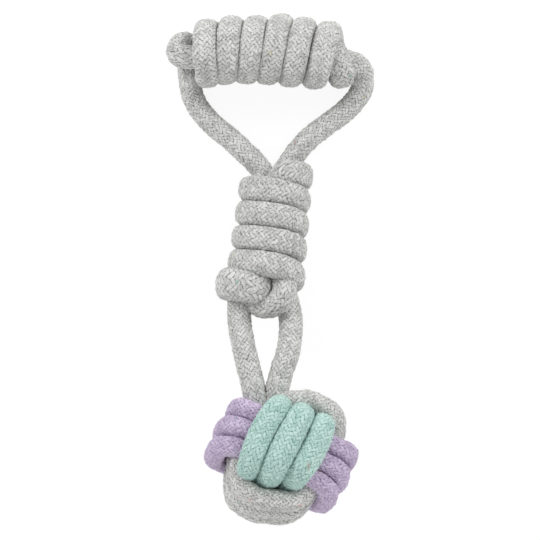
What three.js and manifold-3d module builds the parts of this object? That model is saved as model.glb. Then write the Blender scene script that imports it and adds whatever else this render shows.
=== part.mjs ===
import * as THREE from "three";
import { mergeVertices } from "three/addons/utils/BufferGeometryUtils.js";
import Module from "manifold-3d";

const wasm = await Module();
wasm.setup();

// Rope dog toy lying on a floor: +Z up, +Y from the ball to the grip, +X along
// the grip. Driving dimensions in millimetres and degrees.

const ROPE_DIAMETER = 9.8;
const TURN_GAP = 0.5; // between neighbouring turns of one winding
const SEAT_GAP = 0.3; // between two pieces that touch
const FLAT_SHARE = 0.1; // share of the rope's diameter that the floor flattens
const ROPE_SIDES = 8;
const LEG_SIDES = 10;
const TURN_STEPS = 24;

const FLEX_SWELL = 0.15; // how far the round end of a flexing leg stands out
const FLEX_PINCH = 0.4; // how far the rope narrows beside that end

const GRIP_AXIS_Y = 94.7;
const GRIP_FIRST_X = 32.8; // right-hand turn, where it passes in front
const GRIP_FULL_TURNS = 6;
const GRIP_START_ANGLE = 88;
const GRIP_END_ANGLE = 152;
const GRIP_FLEX = { y: 81.7, z: 6, left: -35.6, right: 40.6 };

const KNOT_MIDDLE_Y = 15;
const KNOT_TILT = 10; // the end next to the ball is lifted
const KNOT_LEAN = 0.11; // sideways shift per millimetre of length
const KNOT_TOP_FRONT = 17.6; // where the first whole turn passes in front
const KNOT_FULL_TURNS = 4;
const KNOT_START_ANGLE = -262;
const KNOT_END_ANGLE = 84;
const KNOT_STRAND_TOP = 5.1; // width of a strand squeezed inside the knot
const KNOT_STRAND_BOTTOM = 6.4;
const KNOT_STRAND_HEIGHT = 8;
const KNOT_LOBE = 3.2; // how far the last half turn opens to the left
const KNOT_UPPER_FLEX = { y: 38.5, left: -13.2, right: 13.2 };
const KNOT_LOWER_FLEX = { y: -39.6, left: -12.7, right: 8.7 };

const STRAND_THICKNESS = 8.8; // a strand of the ball, pressed flat
const LANE_GAP = 0.7; // between neighbouring strands of one rope of the ball
const LANE_SPREAD = 1.2; // lanes on a face against lanes in a hidden crossing
const BALL_LANES = 3;
const END_SQUEEZE = 0.85; // width of a tucked-in end against the rope's width
const BALL_X = 5.2;
const BALL_Y = -80.4;
const BALL_ROLL = -14.5; // about the line of sight from above
const BALL_PITCH = -15;
const BALL_ROUNDNESS = 0.55; // 0 leaves the weave a cube, 1 makes it a sphere
const BALL_SQUASH = 0.92; // the top and bottom strands are pulled in
const BALL_SKEW = 0.12; // and the front strands lean over
const NECK_RISE = 29; // from the ball's middle to the legs' round ends
const NECK_SIDE = -7.4;
const NECK_SPACING = 11.6;
const TAIL_END = 3.6; // half the thickness of the left leg's end, squeezed in

const GREY = { color: 0xb6b6b3, roughness: 0.92 };
const MINT = { color: 0xa3c5bb, roughness: 0.92 };
const LILAC = { color: 0xae9fb9, roughness: 0.92 };
const PADDING = { color: 0xe4dfd2, roughness: 1 };

// Derived sizes.

const ROPE_RADIUS = ROPE_DIAMETER / 2;
const FLEX_RADIUS = ROPE_RADIUS + FLEX_SWELL;
const NECK_RADIUS = ROPE_RADIUS - FLEX_PINCH;
const WIND_RADIUS = ROPE_DIAMETER + SEAT_GAP;
const FLOOR_SINK = FLAT_SHARE * ROPE_DIAMETER;
const GRIP_AXIS_Z = WIND_RADIUS + ROPE_RADIUS - FLOOR_SINK;
const LANE_PITCH = ROPE_DIAMETER + TURN_GAP;
const BALL_INNER = LANE_PITCH + ROPE_RADIUS + STRAND_THICKNESS / 2 + TURN_GAP;
const BALL_OUTER = BALL_INNER + STRAND_THICKNESS + TURN_GAP;

const rad = THREE.MathUtils.degToRad;
const lerp = THREE.MathUtils.lerp;
const ease = THREE.MathUtils.smoothstep;
const vec = (x, y, z) => new THREE.Vector3(x, y, z);

// The rise per turn that leaves TURN_GAP between turns round a given length.
function pitchFor(round, lean = 0) {
  const spacing = ROPE_DIAMETER + TURN_GAP;
  const slope = spacing / round;
  return spacing / (Math.sqrt(1 - slope ** 2) - lean * slope);
}

function closedGeometry(points, faces) {
  const geometry = new THREE.BufferGeometry();
  geometry.setAttribute("position", new THREE.Float32BufferAttribute(points.flatMap((p) => p.toArray()), 3));
  geometry.setIndex(faces.flat());
  return geometry;
}

// Rings of points along a path, lofted into one closed body. Each ring has a
// middle, a direction, an optional thickness direction, and half sizes.
function loft(rings, sides) {
  const points = [];
  const faces = [];
  let normal = null;
  rings.forEach((ring) => {
    const along = ring.along.clone().normalize();
    if (ring.thickness) normal = ring.thickness.clone();
    if (!normal) normal = Math.abs(along.z) < 0.9 ? vec(0, 0, 1) : vec(1, 0, 0);
    normal.addScaledVector(along, -normal.dot(along)).normalize();
    const side = new THREE.Vector3().crossVectors(along, normal);
    for (let k = 0; k < sides; k++) {
      const angle = (2 * Math.PI * (k + 0.5)) / sides;
      points.push(
        ring.middle.clone()
          .addScaledVector(normal, ring.high * Math.cos(angle))
          .addScaledVector(side, ring.wide * Math.sin(angle)),
      );
    }
  });
  for (let i = 0; i + 1 < rings.length; i++) {
    for (let k = 0; k < sides; k++) {
      const a = i * sides + k;
      const b = i * sides + ((k + 1) % sides);
      faces.push([a, b, b + sides], [a, b + sides, a + sides]);
    }
  }
  const first = points.push(rings[0].tip ?? rings[0].middle) - 1;
  const last = points.push(rings.at(-1).tip ?? rings.at(-1).middle) - 1;
  const top = (rings.length - 1) * sides;
  for (let k = 0; k < sides; k++) {
    faces.push([(k + 1) % sides, k, first]);
    faces.push([top + k, top + ((k + 1) % sides), last]);
  }
  return closedGeometry(points, faces);
}

// The rings of a domed end: `sign` -1 before the first ring, +1 after the last.
function dome(ring, sign) {
  const along = ring.along.clone().normalize().multiplyScalar(sign);
  const reach = Math.min(ring.high, ring.wide);
  const caps = [35, 65].map((angle) => ({
    ...ring,
    middle: ring.middle.clone().addScaledVector(along, reach * Math.sin(rad(angle))),
    high: ring.high * Math.cos(rad(angle)),
    wide: ring.wide * Math.cos(rad(angle)),
  }));
  caps[1].tip = ring.middle.clone().addScaledVector(along, reach);
  return sign > 0 ? caps : caps.reverse();
}

// The rings of a flexing end: a ball centred on the last point of the path.
function flexBall(ring, sign) {
  const along = ring.along.clone().normalize().multiplyScalar(sign);
  const start = -Math.sqrt(FLEX_RADIUS ** 2 - NECK_RADIUS ** 2) / FLEX_RADIUS;
  const angles = [rad(-15), 0, rad(22), rad(45), rad(68)];
  const ball = angles.map((angle) => ({
    ...ring,
    middle: ring.middle.clone().addScaledVector(along, FLEX_RADIUS * Math.sin(angle)),
    high: FLEX_RADIUS * Math.cos(angle),
    wide: FLEX_RADIUS * Math.cos(angle),
  }));
  ball.unshift({
    ...ring,
    middle: ring.middle.clone().addScaledVector(along, FLEX_RADIUS * start),
    high: NECK_RADIUS,
    wide: NECK_RADIUS,
  });
  ball.at(-1).tip = ring.middle.clone().addScaledVector(along, FLEX_RADIUS);
  return sign > 0 ? ball : ball.reverse();
}

// A plain rope through a few points. `size(y)` gives half height and half width;
// each end is "round", "flex" (a ball to turn on) or "seat" (cut by such a ball).
function ropeThrough(points, { steps, ends, size }) {
  const curve = new THREE.CatmullRomCurve3(points, false, "centripetal");
  const length = curve.getLength();
  const rings = [];
  for (let i = 0; i <= steps; i++) {
    const t = i / steps;
    const [high, wide] = size ? size(curve.getPointAt(t).y) : [ROPE_RADIUS, ROPE_RADIUS];
    const reach = Math.min(
      ends[0] === "round" ? Infinity : t * length,
      ends[1] === "round" ? Infinity : (1 - t) * length,
    );
    const pinch = FLEX_PINCH * (1 - ease(reach, FLEX_RADIUS, 2 * FLEX_RADIUS));
    const ring = { middle: curve.getPointAt(t), along: curve.getTangentAt(t), high: high - pinch, wide: wide - pinch };
    const nearBall = (ends[0] === "flex" && t * length < FLEX_RADIUS && i > 0)
      || (ends[1] === "flex" && (1 - t) * length < FLEX_RADIUS && i < steps);
    if (!nearBall) rings.push(ring);
  }
  const finish = (end, ring, sign) => (end === "flex" ? flexBall(ring, sign) : end === "round" ? [ring, ...dome(ring, sign)] : [ring]);
  const head = rings.shift();
  const tail = rings.pop();
  const before = ends[0] === "round" ? [...dome(head, -1), head] : finish(ends[0], head, -1);
  return loft([...before, ...rings, ...finish(ends[1], tail, 1)], LEG_SIDES);
}

// A winding: rings from `place(angle)`, with a domed end at each side.
function winding(from, to, place, out) {
  const steps = Math.ceil(((to - from) / 360) * TURN_STEPS);
  const rings = [];
  for (let i = 0; i <= steps; i++) {
    const angle = lerp(from, to, i / steps);
    rings.push({
      middle: place(angle),
      along: place(angle + 0.5).sub(place(angle - 0.5)),
      thickness: out(angle),
      high: ROPE_RADIUS,
      wide: ROPE_RADIUS,
    });
  }
  const middles = rings.map((ring) => ring.middle);
  const reaches = rings.map((ring) => ring.wide);
  return { middles, reaches, geometry: loft([...dome(rings[0], -1), ...rings, ...dome(rings.at(-1), 1)], ROPE_SIDES) };
}

// The least clear space between turns, measured on points of the middle line,
// each with the rope's reach to its side there.
function selfGap(middles, reaches, skip) {
  let least = Infinity;
  for (let i = 0; i < middles.length; i++) {
    for (let j = i + skip; j < middles.length; j++) {
      least = Math.min(least, middles[i].distanceTo(middles[j]) - reaches[i] - reaches[j]);
    }
  }
  return least;
}

function toSolid(geometry) {
  const plain = new THREE.BufferGeometry();
  plain.setAttribute("position", geometry.getAttribute("position").clone());
  if (geometry.index) plain.setIndex(geometry.index.clone());
  const merged = mergeVertices(plain, 1e-4);
  return new wasm.Manifold(new wasm.Mesh({
    numProp: 3,
    vertProperties: new Float32Array(merged.getAttribute("position").array),
    triVerts: new Uint32Array(merged.index.array),
  }));
}

function fromSolid(solid) {
  const mesh = solid.simplify(0.004).getMesh();
  const geometry = new THREE.BufferGeometry();
  const places = new Float32Array(mesh.numVert * 3);
  for (let i = 0; i < mesh.numVert; i++) {
    for (let k = 0; k < 3; k++) places[3 * i + k] = mesh.vertProperties[mesh.numProp * i + k];
  }
  geometry.setAttribute("position", new THREE.BufferAttribute(places, 3));
  geometry.setIndex(Array.from(mesh.triVerts));
  return geometry;
}

function cut(geometry, cutters) {
  const solid = cutters.reduce((body, cutter) => body.subtract(toSolid(cutter)), toSolid(geometry));
  return fromSolid(solid);
}

const seatBall = (place) => new THREE.SphereGeometry(FLEX_RADIUS + SEAT_GAP, 20, 14).translate(place.x, place.y, place.z);
const belowFloor = () => new THREE.BoxGeometry(600, 600, 60).translate(0, 0, -30);

function part(group, name, geometry, paint) {
  geometry.computeVertexNormals();
  const mesh = new THREE.Mesh(geometry, new THREE.MeshStandardMaterial({ metalness: 0, ...paint }));
  mesh.name = name;
  group.add(mesh);
  return mesh;
}

function subAssembly(parent, name) {
  const group = new THREE.Group();
  group.name = name;
  parent.add(group);
  return group;
}

const toy = new THREE.Group();
toy.name = "rope_dog_toy";

// Grip: a winding round the rope that carries it.

const gripPitch = pitchFor(2 * Math.PI * WIND_RADIUS);
const gripEnd = GRIP_END_ANGLE + 360 * GRIP_FULL_TURNS;
const gripX = (angle) => GRIP_FIRST_X - (gripPitch * (angle - 90)) / 360;
const gripPlace = (angle) => vec(
  gripX(angle),
  GRIP_AXIS_Y + WIND_RADIUS * Math.cos(rad(angle)),
  GRIP_AXIS_Z + WIND_RADIUS * Math.sin(rad(angle)),
);
const gripOut = (angle) => vec(0, Math.cos(rad(angle)), Math.sin(rad(angle)));
const gripWinding = winding(GRIP_START_ANGLE, gripEnd, gripPlace, gripOut);

const gripSeats = {
  left: vec(GRIP_FLEX.left, GRIP_FLEX.y, GRIP_FLEX.z),
  right: vec(GRIP_FLEX.right, GRIP_FLEX.y, GRIP_FLEX.z),
};
const gripLeftEnd = gripX(gripEnd);
const gripRightEnd = gripX(GRIP_START_ANGLE);

const grip = subAssembly(toy, "grip");
part(grip, "grip_winding", cut(gripWinding.geometry, [belowFloor()]), GREY);

const corePoints = [
  vec(gripLeftEnd + 1.2, GRIP_AXIS_Y, GRIP_AXIS_Z),
  vec(0, GRIP_AXIS_Y, GRIP_AXIS_Z),
  vec(gripX(180) + 0.6, GRIP_AXIS_Y, GRIP_AXIS_Z),
  vec(gripX(180) + 4.6, GRIP_AXIS_Y - 0.5, GRIP_AXIS_Z),
  vec(GRIP_FLEX.right - 2.2, GRIP_AXIS_Y - 4, GRIP_AXIS_Z - 2),
  vec(GRIP_FLEX.right, GRIP_AXIS_Y - 8.6, GRIP_AXIS_Z - 5.4),
  gripSeats.right,
];
part(grip, "grip_core", cut(ropeThrough(corePoints, { steps: 30, ends: ["round", "seat"] }), [seatBall(gripSeats.right)]), GREY);

const hookX = gripLeftEnd - WIND_RADIUS + 1;
const hookPoints = [
  gripSeats.left,
  vec(hookX + 3.4, GRIP_AXIS_Y - 5, GRIP_FLEX.z - 0.6),
  vec(hookX + 1.6, GRIP_AXIS_Y + 1.8, GRIP_FLEX.z + 1.4),
  vec(hookX + 0.4, GRIP_AXIS_Y + 4.4, GRIP_AXIS_Z - 0.6),
  vec(hookX, GRIP_AXIS_Y + 1.6, GRIP_AXIS_Z + 5.6),
  vec(hookX, GRIP_AXIS_Y - 3.4, GRIP_AXIS_Z + 7.4),
];
part(grip, "grip_end_hook", cut(ropeThrough(hookPoints, { steps: 16, ends: ["seat", "round"] }), [seatBall(gripSeats.left)]), GREY);

// Knot: a winding round two strands, built along its own axis and then tilted.

const knot = subAssembly(toy, "knot");
const knotHalfHeight = ROPE_RADIUS + SEAT_GAP + 0.61 * KNOT_STRAND_HEIGHT;
const knotTopY = KNOT_TOP_FRONT;
const knotRound = 2 * Math.PI * (ROPE_RADIUS + (KNOT_STRAND_TOP + SEAT_GAP + 0.61 * KNOT_STRAND_HEIGHT) / 2);
const knotPitch = pitchFor(knotRound, KNOT_LEAN);
const knotY = (angle) => knotTopY - (knotPitch * (angle - 90)) / 360;
const knotBottomY = knotY(360 * KNOT_FULL_TURNS);
const strandWidth = (y) => lerp(KNOT_STRAND_TOP, KNOT_STRAND_BOTTOM, THREE.MathUtils.clamp((knotTopY - y) / (knotTopY - knotBottomY), 0, 1));
const knotHalfWidth = (y) => strandWidth(y) + 2.7 * SEAT_GAP + ROPE_RADIUS;
const knotLobe = (angle) => KNOT_LOBE * ease(angle, 360 * (KNOT_FULL_TURNS - 0.4), 360 * KNOT_FULL_TURNS);
const knotPlace = (angle) => {
  const y = knotY(angle);
  return vec(KNOT_LEAN * y - (knotHalfWidth(y) + knotLobe(angle)) * Math.cos(rad(angle)), y, knotHalfHeight * Math.sin(rad(angle)));
};
const knotOut = (angle) => vec(-Math.cos(rad(angle)), 0, Math.sin(rad(angle)));
const knotWinding = winding(KNOT_START_ANGLE, 360 * KNOT_FULL_TURNS + KNOT_END_ANGLE, knotPlace, knotOut);

knot.rotation.x = rad(-KNOT_TILT);
const knotLowest = Math.min(...knotWinding.middles.map((p) => p.clone().applyEuler(knot.rotation).z)) - ROPE_RADIUS;
knot.position.set(0, KNOT_MIDDLE_Y, -knotLowest - FLOOR_SINK);
knot.updateMatrix();
const inToy = (p) => p.clone().applyMatrix4(knot.matrix);
const floorInKnot = () => belowFloor().applyMatrix4(knot.matrix.clone().invert());

const strandX = (y, side) => KNOT_LEAN * y + side * (strandWidth(y) / 2 + SEAT_GAP);
const strandSize = (y, above, below) => {
  const squeeze = (1 - ease(y, knotTopY + 6, knotTopY + above)) * ease(y, knotBottomY - below, knotBottomY - 2);
  return [lerp(ROPE_RADIUS, KNOT_STRAND_HEIGHT / 2, squeeze), lerp(ROPE_RADIUS, strandWidth(y) / 2, squeeze)];
};
const upperSeats = {
  left: vec(KNOT_UPPER_FLEX.left, KNOT_UPPER_FLEX.y, 0),
  right: vec(KNOT_UPPER_FLEX.right, KNOT_UPPER_FLEX.y, 0),
};
const lowerSeats = {
  left: vec(KNOT_LOWER_FLEX.left, KNOT_LOWER_FLEX.y, 0),
  right: vec(KNOT_LOWER_FLEX.right, KNOT_LOWER_FLEX.y, 0),
};

part(knot, "knot_winding", cut(knotWinding.geometry, [floorInKnot()]), GREY);

const inside = (side) => [knotTopY + 4.5, knotTopY - 3, 0, knotBottomY + 14, knotBottomY + 6].map((y) => vec(strandX(y, side), y, 0));
const leftPoints = [
  upperSeats.left,
  vec(-8.8, knotTopY + 16, 0),
  vec(-3.5, knotTopY + 11.6, 0),
  ...inside(-1),
  vec(-7, knotBottomY - 1.4, -0.1),
  vec(-10.5, knotBottomY - 8, -0.8),
  vec(-12.8, knotBottomY - 13, -0.6),
  lowerSeats.left,
];
part(knot, "knot_strand_left", cut(
  ropeThrough(leftPoints, { steps: 34, ends: ["seat", "seat"], size: (y) => strandSize(y, 20, 13) }),
  [seatBall(upperSeats.left), seatBall(lowerSeats.left)],
), GREY);

const rightPoints = [
  upperSeats.right,
  vec(8.3, knotTopY + 17, 0),
  vec(5.2, knotTopY + 12, 0),
  ...inside(1),
  vec(2.4, knotBottomY + 0.2, 1),
  vec(4.4, knotBottomY - 4.8, 4.2),
  vec(3.2, knotBottomY - 10, 5.6),
  vec(-0.1, knotBottomY - 11.6, 4.4),
  vec(-2.3, knotBottomY - 11, 2.8),
];
part(knot, "knot_strand_right", cut(
  ropeThrough(rightPoints, { steps: 36, ends: ["seat", "round"], size: (y) => strandSize(y, 20, 8) }),
  [seatBall(upperSeats.right)],
), GREY);

const tailPoints = [
  vec(8.6, knotBottomY - 8.4, -4.4),
  vec(8.9, knotBottomY - 13, -2.2),
  lowerSeats.right,
];
part(knot, "knot_tail_right", cut(
  ropeThrough(tailPoints, { steps: 9, ends: ["round", "seat"] }),
  [seatBall(lowerSeats.right)],
), GREY);

// Upper loop: the two legs between the knot and the grip.

const upperLoop = subAssembly(toy, "upper_loop");
const legUp = { left: inToy(upperSeats.left), right: inToy(upperSeats.right) };
const legRest = ROPE_RADIUS + SEAT_GAP;

function upperLeg(name, from, to, share) {
  const points = share.map(([across, along, rise]) => vec(
    lerp(from.x, to.x, across),
    lerp(from.y, to.y, along),
    lerp(legRest, from.z, rise),
  ));
  part(upperLoop, name, ropeThrough([from, ...points, to], { steps: 16, ends: ["flex", "flex"] }), GREY);
}
upperLeg("upper_leg_left", legUp.left, gripSeats.left, [[0.14, 0.1, 0.72], [0.42, 0.28, 0.34], [0.67, 0.46, 0.1], [0.84, 0.64, 0.02], [0.95, 0.82, 0.02]]);
upperLeg("upper_leg_right", legUp.right, gripSeats.right, [[0.1, 0.1, 0.72], [0.32, 0.28, 0.34], [0.57, 0.46, 0.1], [0.79, 0.64, 0.02], [0.93, 0.82, 0.02]]);

// Ball: three ropes, each wound three times round a core and through the others.

const ballTurn = new THREE.Matrix4().makeRotationX(rad(BALL_PITCH)).multiply(new THREE.Matrix4().makeRotationZ(rad(BALL_ROLL)));
const corner = Math.min(BALL_OUTER - BALL_INNER, BALL_INNER / 2) + 1;
const longFlat = BALL_OUTER - corner;
const shortFlat = BALL_INNER - corner;
const cornerArc = (Math.PI / 2) * corner;
const loopLength = 4 * (longFlat + shortFlat + cornerArc);

// A loop's middle line by length, from the middle of one inner crossing: `long`
// runs through the crossing, `short` points out of it.
function loopPoint(s) {
  const quarter = loopLength / 4;
  const turn = Math.floor(s / quarter);
  const into = s - turn * quarter;
  const even = turn % 2 === 0 || turn % 2 === -0;
  const run = even ? into : quarter - into;
  let long;
  let short;
  let out;
  if (run < longFlat) {
    long = run;
    short = BALL_INNER;
    out = [0, 1];
  } else if (run < longFlat + cornerArc) {
    const angle = (run - longFlat) / corner;
    long = longFlat + corner * Math.sin(angle);
    short = shortFlat + corner * Math.cos(angle);
    out = [Math.sin(angle), Math.cos(angle)];
  } else {
    long = BALL_OUTER;
    short = longFlat + shortFlat + cornerArc - run;
    out = [1, 0];
  }
  const step = ((turn % 4) + 4) % 4;
  const signLong = step < 2 ? 1 : -1;
  const signShort = step === 0 || step === 3 ? 1 : -1;
  return { long: signLong * long, short: signShort * short, out: [signLong * out[0], signShort * out[1]] };
}

// The weave is laid out as a cube. This draws its edges and corners in, then
// squashes and skews it as the pull of the legs does.
function settled(p) {
  const d = p.clone().normalize();
  const cube = (d.x ** 6 + d.y ** 6 + d.z ** 6) ** (1 / 6);
  p.multiplyScalar(cube ** BALL_ROUNDNESS);
  return p.set(p.x + BALL_SKEW * p.y, p.y * BALL_SQUASH, p.z);
}

function settle(geometry) {
  const places = geometry.getAttribute("position");
  for (let i = 0; i < places.count; i++) places.setXYZ(i, ...settled(vec().fromBufferAttribute(places, i)).toArray());
  return geometry;
}

const crossing = longFlat + corner * 0.35;
const firstStart = longFlat * 0.92;

// One rope of the ball. The lanes lie along `across`; each change of lane is
// made in the hidden crossing on the `short` side.
function ballRope(long, short, across, { start = firstStart, direction = 1 } = {}) {
  const end = BALL_LANES * loopLength - firstStart;
  const steps = Math.ceil(((end - start) / loopLength) * TURN_STEPS * 1.2);
  const placeAt = (s) => {
    const p = loopPoint(s);
    const turn = THREE.MathUtils.clamp(Math.round(s / loopLength), 0, BALL_LANES);
    const changed = ease(s - turn * loopLength, -crossing, crossing);
    const lane = turn === 0 ? 0 : turn === BALL_LANES ? BALL_LANES - 1 : turn - 1 + changed;
    const spread = lerp(1, LANE_SPREAD, Math.sin((Math.PI / 2) * (1 - Math.abs(p.short) / BALL_INNER)));
    const side = direction * (lane - (BALL_LANES - 1) / 2) * LANE_PITCH * spread;
    return {
      middle: vec(0, 0, 0).addScaledVector(long, p.long).addScaledVector(short, p.short).addScaledVector(across, side),
      out: vec(0, 0, 0).addScaledVector(long, p.out[0]).addScaledVector(short, p.out[1]),
      wide: (LANE_PITCH * spread - LANE_GAP) / 2,
      changing: turn > 0 && turn < BALL_LANES ? 4 * changed * (1 - changed) : 0,
    };
  };
  const rings = [];
  for (let i = 0; i <= steps; i++) {
    const s = lerp(start, end, i / steps);
    const here = placeAt(s);
    rings.push({
      middle: here.middle,
      along: placeAt(s + 0.2).middle.sub(placeAt(s - 0.2).middle),
      thickness: here.out,
      high: STRAND_THICKNESS / 2,
      wide: here.wide * (1 - 0.06 * here.changing) * lerp(END_SQUEEZE, 1, ease(Math.min(s - start, end - s), 0, ROPE_DIAMETER)),
    });
  }
  const middles = rings.map((ring) => settled(ring.middle.clone()));
  const reaches = rings.map((ring, i) => {
    const side = new THREE.Vector3().crossVectors(ring.along, ring.thickness).setLength(ring.wide);
    return settled(ring.middle.clone().add(side)).distanceTo(middles[i]);
  });
  return { middles, reaches, geometry: settle(loft(rings, ROPE_SIDES)) };
}

const R = vec(1, 0, 0);
const U = vec(0, 1, 0);
const F = vec(0, 0, 1);
const ballRopes = {
  mint: ballRope(F, U.clone().negate(), R),
  lilac: ballRope(R, F.clone().negate(), U),
  grey: ballRope(U, R.clone().negate(), F, { start: longFlat + 0.8 * cornerArc, direction: -1 }),
};

const ball = subAssembly(toy, "ball");
const ballLowest = Math.min(...Object.values(ballRopes).map((rope) => {
  const shape = rope.geometry.clone().applyMatrix4(ballTurn);
  shape.computeBoundingBox();
  return shape.boundingBox.min.z;
}));
ball.rotation.setFromRotationMatrix(ballTurn);
ball.position.set(BALL_X, BALL_Y, -ballLowest - FLOOR_SINK);
ball.updateMatrix();
const inBall = ball.matrix.clone().invert();

const necks = {
  right: vec(NECK_SIDE, NECK_RISE, LANE_PITCH).applyMatrix4(ball.matrix),
};
necks.left = necks.right.clone().add(vec(-NECK_SPACING, 0, 0));
const neckSeats = [necks.left, necks.right].map((p) => seatBall(p).applyMatrix4(inBall));
const floorInBall = belowFloor().applyMatrix4(inBall);

part(ball, "ball_mint_rope", cut(ballRopes.mint.geometry, [floorInBall]), MINT);
part(ball, "ball_lilac_rope", cut(ballRopes.lilac.geometry, [floorInBall]), LILAC);
part(ball, "ball_grey_rope", cut(ballRopes.grey.geometry, [floorInBall, ...neckSeats]), GREY);
const tailPlace = necks.left.clone().applyMatrix4(inBall);
const tail = ropeThrough(
  [tailPlace, tailPlace.clone().add(vec(1.6, -5, 1.2)), tailPlace.clone().add(vec(4, -9.5, 2.4))],
  { steps: 6, ends: ["seat", "round"], size: (y) => Array(2).fill(lerp(ROPE_RADIUS, TAIL_END, ease(tailPlace.y - y, 0, 8))) },
);
part(ball, "ball_grey_tail", cut(tail, [neckSeats[0]]), GREY);
const coreRadius = BALL_INNER - STRAND_THICKNESS / 2 - TURN_GAP;
part(ball, "ball_core", settle(new THREE.SphereGeometry(coreRadius, 20, 14)), PADDING);

// Lower loop: the two legs between the knot and the ball.

const lowerLoop = subAssembly(toy, "lower_loop");
const legDown = { left: inToy(lowerSeats.left), right: inToy(lowerSeats.right) };
function lowerLeg(name, from, to, share) {
  const points = share.map(([across, along, rise]) => vec(lerp(from.x, to.x, across), lerp(from.y, to.y, along), lerp(from.z, to.z, rise)));
  part(lowerLoop, name, ropeThrough([from, ...points, to], { steps: 9, ends: ["flex", "flex"] }), GREY);
}
lowerLeg("lower_leg_left", legDown.left, necks.left, [[0.22, 0.33, 0.36], [0.56, 0.67, 0.74]]);
lowerLeg("lower_leg_right", legDown.right, necks.right, [[0.1, 0.33, 0.36], [0.42, 0.67, 0.74]]);

const coils = { grip: gripWinding, knot: knotWinding, mint: ballRopes.mint, lilac: ballRopes.lilac, grey: ballRopes.grey };
Object.entries(coils).forEach(([name, { middles, reaches }]) => {
  console.log("least gap of", name, "to itself", selfGap(middles, reaches, TURN_STEPS / 2).toFixed(2), "mm");
});

// The origin goes to the middle of the part's outline on the floor.

const outline = new THREE.Box3().setFromObject(toy, true);
const middle = outline.getCenter(vec());
toy.children.forEach((group) => group.position.add(vec(-middle.x, -middle.y, 0)));

toy.userData.flexLines = Object.entries({ grip: gripSeats, upper: legUp, lower: legDown, ball: necks }).map(([name, ends]) => ({
  name,
  y: ends.left.y - middle.y,
  z: ends.left.z,
}));
toy.userData.flexLines.forEach(({ name, y, z }) => console.log("flex line", name, y.toFixed(3), z.toFixed(3)));

export default toy;
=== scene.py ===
# %% [markdown]
# # A rope dog toy
# The toy is tied from thick braided cotton rope: a loop to hold, with a wound
# grip across it, a knot in the middle and a woven ball at the far end. The CAD
# model gives the sizes and the joints. This file dresses it: each plain tube of
# the CAD model becomes a braided rope with its own yarns, fuzz and colour.

# %% Load the CAD model
import math

import bmesh
import bpy
import numpy as np
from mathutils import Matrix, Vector, noise


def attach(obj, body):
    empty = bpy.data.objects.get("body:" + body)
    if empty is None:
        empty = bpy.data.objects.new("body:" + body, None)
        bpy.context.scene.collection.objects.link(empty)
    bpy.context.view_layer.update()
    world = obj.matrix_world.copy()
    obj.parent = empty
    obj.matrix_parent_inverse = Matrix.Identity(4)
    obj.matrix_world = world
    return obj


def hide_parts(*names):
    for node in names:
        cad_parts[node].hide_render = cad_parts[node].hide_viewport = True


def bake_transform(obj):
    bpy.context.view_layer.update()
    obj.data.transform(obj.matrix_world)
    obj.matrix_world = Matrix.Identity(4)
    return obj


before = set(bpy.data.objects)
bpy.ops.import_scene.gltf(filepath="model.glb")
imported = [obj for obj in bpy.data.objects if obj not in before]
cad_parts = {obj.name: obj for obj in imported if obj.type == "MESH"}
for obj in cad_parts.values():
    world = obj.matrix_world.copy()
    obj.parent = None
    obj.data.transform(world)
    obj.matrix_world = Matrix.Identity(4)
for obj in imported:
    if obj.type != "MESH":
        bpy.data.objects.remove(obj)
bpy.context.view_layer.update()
MM = 0.001

# %% [markdown]
# ## Camera, floor and light
# The photograph looks straight down on the toy through a long lens. Its white
# ground could come from strong lamps, but they would bleach the cotton. So the
# floor is pale paper that shows as white to the camera, and a small share of it
# is still lit by the lamps, which keeps a faint shadow. One lamp above the grip
# would put the legs in its shadow. So a broad window stands at each side, and a
# weaker reflector at the ball's end lights what turns away from them.

# %% Camera
MM_PER_PIXEL = 0.43
PICTURE_WIDTH = 540
SENSOR_WIDTH = 36
VIEW_DISTANCE = 2.0
VIEW_MIDDLE = Vector((0, 1.41, 24)) * MM

camera = bpy.data.objects.new("camera", bpy.data.cameras.new("camera"))
camera.data.sensor_width = SENSOR_WIDTH
camera.data.lens = SENSOR_WIDTH * VIEW_DISTANCE / (PICTURE_WIDTH * MM_PER_PIXEL * MM)
camera.data.clip_end = 20
camera.location = VIEW_MIDDLE + Vector((0, 0, VIEW_DISTANCE))
bpy.context.scene.collection.objects.link(camera)
bpy.context.scene.camera = camera
bpy.context.scene.view_settings.view_transform = "Standard"
print("lens", round(camera.data.lens), "mm")


# %% Helpers that add a node and fill its inputs
def fill(tree, socket, value):
    if isinstance(value, bpy.types.NodeSocket):
        tree.links.new(value, socket)
    elif value is not None:
        socket.default_value = value


def add(tree, kind, *values, **settings):
    """A new node: its settings by name, its inputs in order."""
    node = tree.nodes.new(kind)
    for name, value in settings.items():
        setattr(node, name, value)
    for socket, value in zip([s for s in node.inputs if s.enabled], values):
        fill(tree, socket, value)
    return node


def feed(tree, node, values):
    """Fills a node's inputs by name."""
    for name, value in values.items():
        fill(tree, node.inputs[name], value)


def result(node):
    return next(s for s in node.outputs if s.enabled)


def calc(tree, operation, *values):
    return result(add(tree, "ShaderNodeMath", *values, operation=operation))


def calc_vector(tree, operation, *values):
    return result(add(tree, "ShaderNodeVectorMath", *values, operation=operation))


# %% Floor
def shown_directly(tree):
    """1 for a ray that shows the floor or the world itself, 0 for one that gathers light."""
    rays = add(tree, "ShaderNodeLightPath").outputs
    seen = calc(tree, "MAXIMUM", rays["Is Camera Ray"], rays["Is Glossy Ray"])
    return calc(tree, "MAXIMUM", seen, rays["Is Transmission Ray"])


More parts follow.
